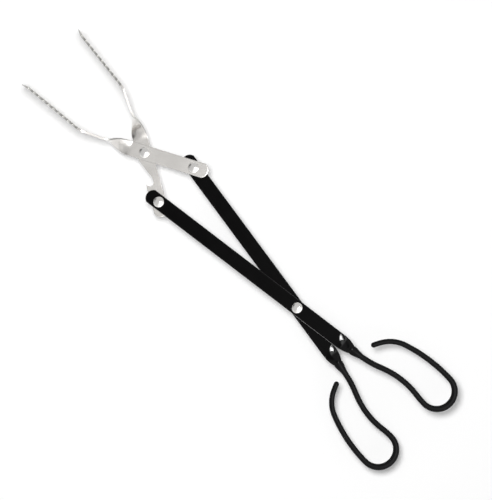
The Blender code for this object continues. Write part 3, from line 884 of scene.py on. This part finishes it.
# painted highlight, lighter grey, along one edge of each arm
PAINTED_EDGE_HIGHLIGHT = (0.34, 0.34, 0.33, 1)
GLOSS_TILT = (0.996, 0.975)  # the normal's vertical share as a leaning face turns glossy
GLOSS_FADE = (0.0655, 0.0685)  # distances behind the main rivet between which the gloss dulls
GLOSS_LOSS = 0.86  # how much of the gloss is lost there
VINYL = ((0.0040, 0.0040, 0.0043, 1), (0.0062, 0.0062, 0.0065, 1))
BRIGHT_STEEL = ((0.77, 0.755, 0.735, 1), (0.87, 0.855, 0.835, 1))
WASHER_STEEL = ((0.50, 0.49, 0.47, 1), (0.62, 0.61, 0.59, 1))
ROD_STEEL = ((0.36, 0.36, 0.37, 1), (0.46, 0.46, 0.47, 1))


class Link:
    """A node's output that takes part in plain arithmetic."""

    def __init__(self, graph, socket):
        self.graph = graph
        self.socket = socket

    def maths(self, operation, *values):
        return self.graph.node("ShaderNodeMath", {"operation": operation}, dict(enumerate(values)))

    def __add__(self, other):
        return self.maths("ADD", self, other)

    def __sub__(self, other):
        return self.maths("SUBTRACT", self, other)

    def __rsub__(self, other):
        return self.maths("SUBTRACT", other, self)

    def __mul__(self, other):
        return self.maths("MULTIPLY", self, other)

    __radd__ = __add__
    __rmul__ = __mul__


class Graph:
    """A node tree that is built up from plain expressions."""

    def __init__(self, tree):
        self.tree = tree

    def node(self, kind, settings, sockets, output=0):
        """Add a node: its settings first, then its sockets' values or links. Gives one output."""
        made = self.tree.nodes.new(kind)
        for key, value in settings.items():
            setattr(made, key, value)
        for key, value in sockets.items():
            self.feed(made.inputs[key], value)
        return Link(self, made.outputs[output])

    def feed(self, socket, value):
        if isinstance(value, Link):
            self.tree.links.new(value.socket, socket)
        else:
            socket.default_value = value

    def range(self, value, low, high, to_low=0.0, to_high=1.0):
        """Ease from one level to another as the value goes from low to high."""
        sockets = {"Value": value, "From Min": low, "From Max": high}
        sockets.update({"To Min": to_low, "To Max": to_high})
        return self.node("ShaderNodeMapRange", {"interpolation_type": "SMOOTHSTEP"}, sockets)

    def vectors(self, operation, sockets, output=0):
        return self.node("ShaderNodeVectorMath", {"operation": operation}, sockets, output)

    def part(self, vector, axis):
        return self.node("ShaderNodeSeparateXYZ", {}, {0: vector}, axis)

    def ray(self, fact):
        return self.node("ShaderNodeLightPath", {}, {}, fact)

    def mix(self, share, a, b):
        settings = {"data_type": "RGBA", "blend_type": "MIX"}
        return self.node("ShaderNodeMix", settings, {0: share, 6: a, 7: b}, 2)


class Finish(Graph):
    """A Principled material."""

    def __init__(self, name, **sockets):
        self.material = bpy.data.materials.new(name)
        self.material.use_nodes = True
        super().__init__(self.material.node_tree)
        self.shader = self.tree.nodes["Principled BSDF"]
        self.set(sockets)

    def set(self, sockets):
        for key, value in sockets.items():
            self.feed(self.shader.inputs[key], value)

    def place(self):
        return self.node("ShaderNodeTexCoord", {}, {}, "Object")

    def ground(self):
        """How far each point lies on a jaw's ground or sheared edge, darker partly as painted
        shade, and on an arm edge with a painted highlight.
        """
        return self.part(self.node("ShaderNodeUVMap", {"uv_map": "ground"}, {}), "X")

    def run(self, along, around):
        """The piece's own map, in metres along and round it, scaled."""
        spot = self.node("ShaderNodeUVMap", {"uv_map": "run"}, {})
        return self.node("ShaderNodeMapping", {}, {"Vector": spot, "Scale": (along, around, 1.0)})

    def noise(self, where, scale, detail=3.0, roughness=0.5):
        sockets = {"Vector": where, "Scale": scale, "Detail": detail, "Roughness": roughness}
        return self.node("ShaderNodeTexNoise", {}, sockets)

    def bump(self, height, distance):
        sockets = {"Height": height, "Distance": distance, "Strength": 1.0}
        return self.node("ShaderNodeBump", {}, sockets)

    def grooved(self, grain, spread):
        """The normal leaning to and fro across the piece's run, as fine brushed grooves make it."""
        normal = self.node("ShaderNodeNewGeometry", {}, {}, "Normal")
        along = self.node("ShaderNodeTangent", {"direction_type": "UV_MAP", "uv_map": "run"}, {})
        across = self.vectors("CROSS_PRODUCT", {0: normal, 1: along})
        lean = self.vectors("SCALE", {0: across, "Scale": (grain - 0.5) * spread})
        leaning = self.vectors("ADD", {0: normal, 1: lean})
        return self.vectors("NORMALIZE", {0: leaning})


def satin_stainless():
    """Brushed sheet, grain along each piece: faint smudges, thin scratches, dull ground edges
    darkened partly as painted shade, most in the scallop hollows.
    """
    steel = Finish("satin_stainless", Metallic=1.0)
    grain = steel.noise(steel.run(90.0, 16000.0), 1.0, 2.0, 0.6)
    streak = steel.noise(steel.run(25.0, 1600.0), 1.0, 3.0, 0.6)
    smudge = steel.noise(steel.place(), 45.0, 4.0, 0.55)
    scratch = steel.range(steel.noise(steel.run(160.0, 5200.0), 1.0, 1.0), 0.70, 0.78)
    ground = steel.ground()
    shade = steel.range(smudge, 0.3, 0.7)
    colour = steel.mix(shade, *STAINLESS)
    colour = steel.mix(steel.range(streak, 0.35, 0.65) * 0.5, colour, STAINLESS_STREAK)
    # ground edges darker, partly as painted shade
    colour = steel.mix(ground, colour, GROUND_STEEL_AND_SHADE)
    steel.set(
        {
            "Base Color": colour,
            "Roughness": 0.20 + shade * 0.02 + streak * 0.02 - scratch * 0.05 + ground * 0.40,
            "Normal": steel.grooved(grain, GROOVE_SPREAD),
        }
    )
    return steel.material


def black_enamel():
    """Baked enamel: near black, dull when level, glossy when leaning, with a painted highlight
    along one edge.
    """
    enamel = Finish(
        "black_enamel", **{"Specular IOR Level": 0.03, "Coat Roughness": 0.09, "Coat IOR": 1.8}
    )
    place = enamel.place()
    ripple = enamel.noise(place, 750.0, 2.0)
    speck = enamel.range(enamel.noise(place, 2600.0, 1.0), 0.72, 0.80)
    cloud = enamel.noise(place, 60.0, 3.0)
    colour = enamel.mix(enamel.range(cloud, 0.3, 0.7), *ENAMEL)
    colour = enamel.mix(speck * 0.3, colour, ENAMEL_SPECK)
    patches = enamel.noise(enamel.run(60.0, 60.0), 1.0, 2.0)
    # a patchy painted highlight along one long edge of each arm
    painted_edge_light = enamel.ground() * enamel.range(patches, 0.15, 0.6)
    colour = enamel.mix(painted_edge_light, colour, PAINTED_EDGE_HIGHLIGHT)
    level = enamel.part(enamel.node("ShaderNodeTexCoord", {}, {}, "Normal"), "Z")
    leaning = enamel.range(level.maths("ABSOLUTE", level), *GLOSS_TILT)
    along = enamel.part(enamel.run(1.0, 1.0), "X")
    rear = enamel.range(along, *(ARM_REACH + ARM_END_REACH + behind for behind in GLOSS_FADE))
    enamel.set(
        {
            "Base Color": colour,
            "Roughness": 0.34 + cloud * 0.10,
            "Coat Weight": leaning * (1.0 - GLOSS_LOSS * rear),
            "Normal": enamel.bump(ripple + speck * 0.3, 0.00001),
        }
    )
    return enamel.material


def black_vinyl():
    """Soft dipped vinyl: matte, with a fine pebble and slow thick and thin places."""
    vinyl = Finish("black_vinyl", **{"Specular IOR Level": 0.085})
    place = vinyl.place()
    pebble = vinyl.noise(place, 1900.0, 3.0, 0.6)
    slow = vinyl.noise(place, 90.0, 2.0)
    vinyl.set(
        {
            "Base Color": vinyl.mix(vinyl.range(slow, 0.3, 0.7), *VINYL),
            "Roughness": 0.38 + pebble * 0.12,
            "Normal": vinyl.bump(pebble * 0.7 + slow * 1.5, 0.00002),
        }
    )
    return vinyl.material


def bright_steel():
    """Polished rivets with faint rings from forming and a few small dents."""
    steel = Finish("bright_steel", Metallic=1.0)
    rings = steel.noise(steel.run(5200.0, 900.0), 1.0, 2.0)
    dull = steel.noise(steel.place(), 420.0, 3.0)
    steel.set(
        {
            "Base Color": steel.mix(dull, *BRIGHT_STEEL),
            "Roughness": 0.09 + dull * 0.09,
            "Normal": steel.bump(rings * 0.5 + dull, 0.00001),
        }
    )
    return steel.material


def washer_steel():
    """Stamped washers, a little duller than the rivets."""
    steel = Finish("washer_steel", Metallic=1.0)
    grain = steel.noise(steel.place(), 1500.0, 3.0)
    steel.set(
        {
            "Base Color": steel.mix(grain, *WASHER_STEEL),
            "Roughness": 0.28 + grain * 0.14,
            "Normal": steel.bump(grain, 0.000012),
        }
    )
    return steel.material


def rod_steel():
    """Drawn rod, hidden inside the grips."""
    steel = Finish("rod_steel", Metallic=1.0)
    grain = steel.noise(steel.place(), 700.0, 3.0)
    steel.set(
        {
            "Base Color": steel.mix(grain, *ROD_STEEL),
            "Roughness": 0.35 + grain * 0.15,
        }
    )
    return steel.material


# Studio

VIEW_CENTRE = (-0.009936, -0.004827)
VIEW_HEIGHT = 4.78  # above the linkage plane
VIEW_SPAN = 0.574  # the view's long side in the linkage plane
VIEW_RIGHT = Vector((-0.7013, -0.7128, 0.0))
VIEW_UP = Vector((0.7128, -0.7013, 0.0))
SENSOR_WIDTH = 36.0  # in millimetres
VIEW_LIMIT = 20.0
LAMP_DISTANCE = 2.4
FLOOR_HALF_SIZE = 6.0
PAPER = (0.85, 0.85, 0.85, 1)
FLOOR_GLOW = 0.135
DOME_LEVEL = 0.66
DOME_FILL = 0.3  # the share of the dome that lights plain surfaces; the key softbox does the rest
# Brighter and darker parts of the dome: degrees from the zenith, bearing, radius where the change
# is full, radius where it has faded out; then the change of level
DOME_AREAS = (
    (30.0, -38.0, 12.0, 31.0, 0.7),
    (66.0, -38.0, 26.0, 50.0, 0.7),
    (76.0, -86.0, 14.0, 27.0, 0.6),
    (42.0, -84.0, 9.0, 26.0, 0.4),
    (72.0, -132.0, 6.0, 30.0, 0.25),
    (60.0, 156.0, 15.0, 30.0, -0.28),
    (55.0, 136.0, 8.0, 20.0, -0.30),
)


def make_camera():
    data = bpy.data.cameras.new("studio_camera")
    data.sensor_width = SENSOR_WIDTH
    data.lens = data.sensor_width * VIEW_HEIGHT / VIEW_SPAN
    data.clip_end = VIEW_LIMIT
    camera = bpy.data.objects.new("studio_camera", data)
    turn = Matrix((VIEW_RIGHT, VIEW_UP, (0, 0, 1))).transposed()
    spot = Matrix.Translation((*VIEW_CENTRE, MAIN_PIVOT.z + VIEW_HEIGHT))
    camera.matrix_world = spot @ turn.to_4x4()
    bpy.context.scene.collection.objects.link(camera)
    bpy.context.scene.camera = camera


def studio_direction(from_zenith, bearing):
    """A direction, in degrees; the bearing runs from the view's right towards its top."""
    tilt, turn = math.radians(from_zenith), math.radians(bearing)
    level = VIEW_RIGHT * math.cos(turn) + VIEW_UP * math.sin(turn)
    return level * math.sin(tilt) + Vector((0, 0, math.cos(tilt)))


def lamp(name, direction, size, power, diffuse, glossy):
    """A round softbox aimed at the tongs' middle."""
    data = bpy.data.lights.new(name, "AREA")
    data.shape = "DISK"
    data.size = size
    data.energy = power
    made = bpy.data.objects.new(name, data)
    made.location = Vector((*VIEW_CENTRE, MAIN_PIVOT.z)) + direction * LAMP_DISTANCE
    made.rotation_mode = "QUATERNION"
    made.rotation_quaternion = direction.to_track_quat("Z", "Y")
    made.visible_camera = False
    made.visible_diffuse = diffuse
    made.visible_glossy = glossy
    bpy.context.scene.collection.objects.link(made)


def make_floor():
    bm = bmesh.new()
    bmesh.ops.create_grid(bm, x_segments=1, y_segments=1, size=FLOOR_HALF_SIZE)
    floor = piece("floor", bm)
    paper = Finish(
        "pale_paper", **{"Base Color": PAPER, "Roughness": 0.9, "Specular IOR Level": 0.0}
    )
    glow = paper.mix(white_behind(paper), (0, 0, 0, 1), (1, 1, 1, 1))
    paper.set({"Emission Color": glow, "Emission Strength": FLOOR_GLOW})
    floor.data.materials.append(paper.material)


def white_behind(graph):
    """1 for the rays that show what is behind the tongs, straight or in their metal."""
    shown = graph.ray("Is Camera Ray") + graph.ray("Is Glossy Ray")
    shown = shown + graph.ray("Is Transmission Ray")
    return shown.maths("MINIMUM", shown, 1.0)


def make_world():
    world = bpy.data.worlds.new("studio")
    bpy.context.scene.world = world
    world.use_nodes = True
    dome = Graph(world.node_tree)
    toward = dome.node("ShaderNodeTexCoord", {}, {}, "Generated")
    level = DOME_LEVEL
    for from_zenith, bearing, full, faded, change in DOME_AREAS:
        middle = studio_direction(from_zenith, bearing)
        near = dome.vectors("DOT_PRODUCT", {0: toward, 1: middle}, "Value")
        inner, outer = math.cos(math.radians(full)), math.cos(math.radians(faded))
        level = level + dome.range(near, outer, inner, 0.0, change)
    camera = dome.ray("Is Camera Ray")
    # the fill also holds for light that a plain surface gets by way of a polished one
    depth = dome.ray("Diffuse Depth")
    level = level * (1.0 - (1.0 - DOME_FILL) * depth.maths("MINIMUM", depth, 1.0))
    back = world.node_tree.nodes["Background"]
    dome.feed(back.inputs["Color"], (1, 1, 1, 1))
    dome.feed(back.inputs["Strength"], level + camera * (1.0 - level))


def main():
    enamel, vinyl = black_enamel(), black_vinyl()
    stainless, bright, washer = satin_stainless(), bright_steel(), washer_steel()
    rod = rod_steel()
    for half in ("top", "bottom"):
        make_arm(half, enamel)
        make_grip(half, vinyl)
        make_jaw(half, stainless)
        held = frame["nodes"][f"{half}_handle_rod"]
        held.data.materials.clear()
        held.data.materials.append(rod)
    for name, body in (
        ("main", "top_arm"),
        ("left_link", "top_arm"),
        ("right_link", "top_jaw"),
        ("jaw", "top_jaw"),
    ):
        make_rivet(name, body, bright, washer)
    make_camera()
    make_floor()
    make_world()
    toward_key, toward_highlight = studio_direction(8.0, 125.0), studio_direction(20.0, -14.0)
    lamp("key_softbox", toward_key, size=0.8, power=48.0, diffuse=True, glossy=False)
    lamp("highlight_softbox", toward_highlight, size=0.63, power=25.0, diffuse=False, glossy=True)
    bpy.context.scene.view_settings.view_transform = "Standard"


main()
